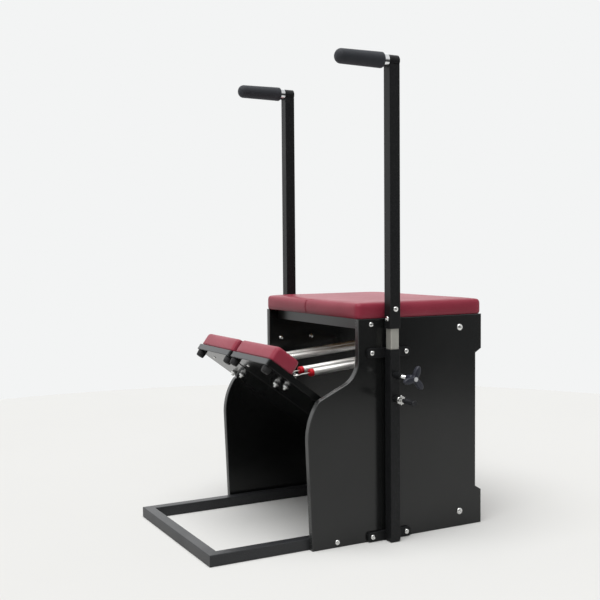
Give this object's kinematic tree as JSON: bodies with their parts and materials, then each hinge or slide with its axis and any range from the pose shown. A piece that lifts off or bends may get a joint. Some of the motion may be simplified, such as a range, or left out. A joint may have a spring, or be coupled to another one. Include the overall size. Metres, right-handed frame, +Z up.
{
  "type": "pilates chair",
  "caption": "Box-shaped pilates chair with a padded seat, split sprung foot pedals and height-adjustable side handles on a floor frame.",
  "frame": {"origin": "on the floor under the middle of the chair's length and width", "axes": "+X the seated user's left, -Y the front with the pedals, +Z up"},
  "size_m": [0.816, 0.832, 1.2976],
  "materials": {
    "panel_black": "semi-gloss black laminate on board",
    "board_wood": "bare plywood",
    "vinyl_burgundy": "burgundy vinyl with a fine grain",
    "frame_black": "black powder coat",
    "chrome": "bright chrome plate",
    "bright_steel": "bright zinc-plated steel",
    "cap_red": "dipped red vinyl",
    "knob_black": "moulded black nylon",
    "rubber_black": "black rubber",
    "foam_black": "black foam sleeve"
  },
  "bodies": {
    "frame": {"side_panel_left": "panel_black", "side_panel_right": "panel_black", "front_rail": "panel_black", "rear_rail": "panel_black", "base_front_bar": "frame_black", "base_rail_left": "frame_black", "base_rail_right": "frame_black", "rail_plugs": "knob_black", "seat_board": "board_wood", "seat_cushion": "vinyl_burgundy", "socket_left": "frame_black", "socket_right": "frame_black", "pin_nuts": "chrome", "panel_bolts": "bright_steel", "cap_nuts": "bright_steel", "rear_bolts": "bright_steel", "spring_trees": "frame_black", "pedal_axle": "bright_steel", "axle_spacers": "knob_black"},
    "pedal_left": {"pedal_board_left": "panel_black", "pedal_pad_left": "vinyl_burgundy", "pedal_bumpers_left": "rubber_black", "pedal_eyebolts_left": "bright_steel", "pedal_eyebolt_nuts_left": "bright_steel", "pedal_hinge_blocks_left": "frame_black"},
    "springs_left_front": {"springs_left": "bright_steel", "spring_front_caps_left": "cap_red"},
    "springs_left_rear": {"spring_rear_caps_left": "cap_red"},
    "pole_left": {"pole_tube_left": "chrome", "pole_sleeve_left": "frame_black", "handle_bar_left": "chrome", "handle_collar_left": "chrome", "handle_grip_left": "foam_black"},
    "clamp_left": {"clamp_knob_left": "knob_black", "clamp_stud_left": "bright_steel"},
    "pin_left": {"pin_plunger_left": "bright_steel", "pin_knob_left": "knob_black"},
    "pedal_right": {"pedal_board_right": "panel_black", "pedal_pad_right": "vinyl_burgundy", "pedal_bumpers_right": "rubber_black", "pedal_eyebolts_right": "bright_steel", "pedal_eyebolt_nuts_right": "bright_steel", "pedal_hinge_blocks_right": "frame_black"},
    "springs_right_front": {"springs_right": "bright_steel", "spring_front_caps_right": "cap_red"},
    "springs_right_rear": {"spring_rear_caps_right": "cap_red"},
    "pole_right": {"pole_tube_right": "chrome", "pole_sleeve_right": "frame_black", "handle_bar_right": "chrome", "handle_collar_right": "chrome", "handle_grip_right": "foam_black"},
    "clamp_right": {"clamp_knob_right": "knob_black", "clamp_stud_right": "bright_steel"},
    "pin_right": {"pin_plunger_right": "bright_steel", "pin_knob_right": "knob_black"}
  },
  "joints": [
    {"name": "pedal_left_press", "type": "hinge", "parent": "frame", "child": "pedal_left", "pos_m": [0, 0.3385, 0.043], "axis": [1, 0, 0], "range_deg": [0, 37.2], "stiffness_Nm_per_rad": 150, "springref_deg": -9.17},
    {"name": "springs_left_swing", "type": "hinge", "parent": "pedal_left", "child": "springs_left_front", "pos_m": [0.141, -0.13533, 0.44835], "axis": [1, 0, 0], "range_deg": [-8.53, 0]},
    {"name": "springs_left_stretch", "type": "slide", "parent": "springs_left_front", "child": "springs_left_rear", "axis": [0, 0.9955, 0.0945], "range_m": [0, 0.2738], "deforming": ["springs_left"]},
    {"name": "pole_left_height", "type": "slide", "parent": "frame", "child": "pole_left", "axis": [0, 0, 1], "range_m": [-0.05, 0.15]},
    {"name": "clamp_left_turn", "type": "hinge", "parent": "frame", "child": "clamp_left", "pos_m": [0.38, 0.099, 0.45], "axis": [1, 0, 0], "continuous": true},
    {"name": "pin_left_pull", "type": "slide", "parent": "frame", "child": "pin_left", "axis": [1, 0, 0], "range_m": [-0.008, 0]},
    {"name": "pedal_right_press", "type": "hinge", "parent": "frame", "child": "pedal_right", "pos_m": [0, 0.3385, 0.043], "axis": [1, 0, 0], "range_deg": [0, 37.2], "stiffness_Nm_per_rad": 150, "springref_deg": -9.17},
    {"name": "springs_right_swing", "type": "hinge", "parent": "pedal_right", "child": "springs_right_front", "pos_m": [-0.141, -0.13533, 0.44835], "axis": [1, 0, 0], "range_deg": [-8.53, 0]},
    {"name": "springs_right_stretch", "type": "slide", "parent": "springs_right_front", "child": "springs_right_rear", "axis": [0, 0.9955, 0.0945], "range_m": [0, 0.2738], "deforming": ["springs_right"]},
    {"name": "pole_right_height", "type": "slide", "parent": "frame", "child": "pole_right", "axis": [0, 0, 1], "range_m": [-0.05, 0.15]},
    {"name": "clamp_right_turn", "type": "hinge", "parent": "frame", "child": "clamp_right", "pos_m": [-0.38, 0.099, 0.45], "axis": [-1, 0, 0], "continuous": true},
    {"name": "pin_right_pull", "type": "slide", "parent": "frame", "child": "pin_right", "axis": [-1, 0, 0], "range_m": [-0.008, 0]}
  ],
  "couplings": [
    {"joint": "springs_left_swing", "follows": "pedal_left_press", "ratio": -0.22803},
    {"joint": "springs_left_stretch", "follows": "pedal_left_press", "m_per_rad": 0.42093},
    {"joint": "springs_right_swing", "follows": "pedal_right_press", "ratio": -0.22803},
    {"joint": "springs_right_stretch", "follows": "pedal_right_press", "m_per_rad": 0.42093}
  ]
}
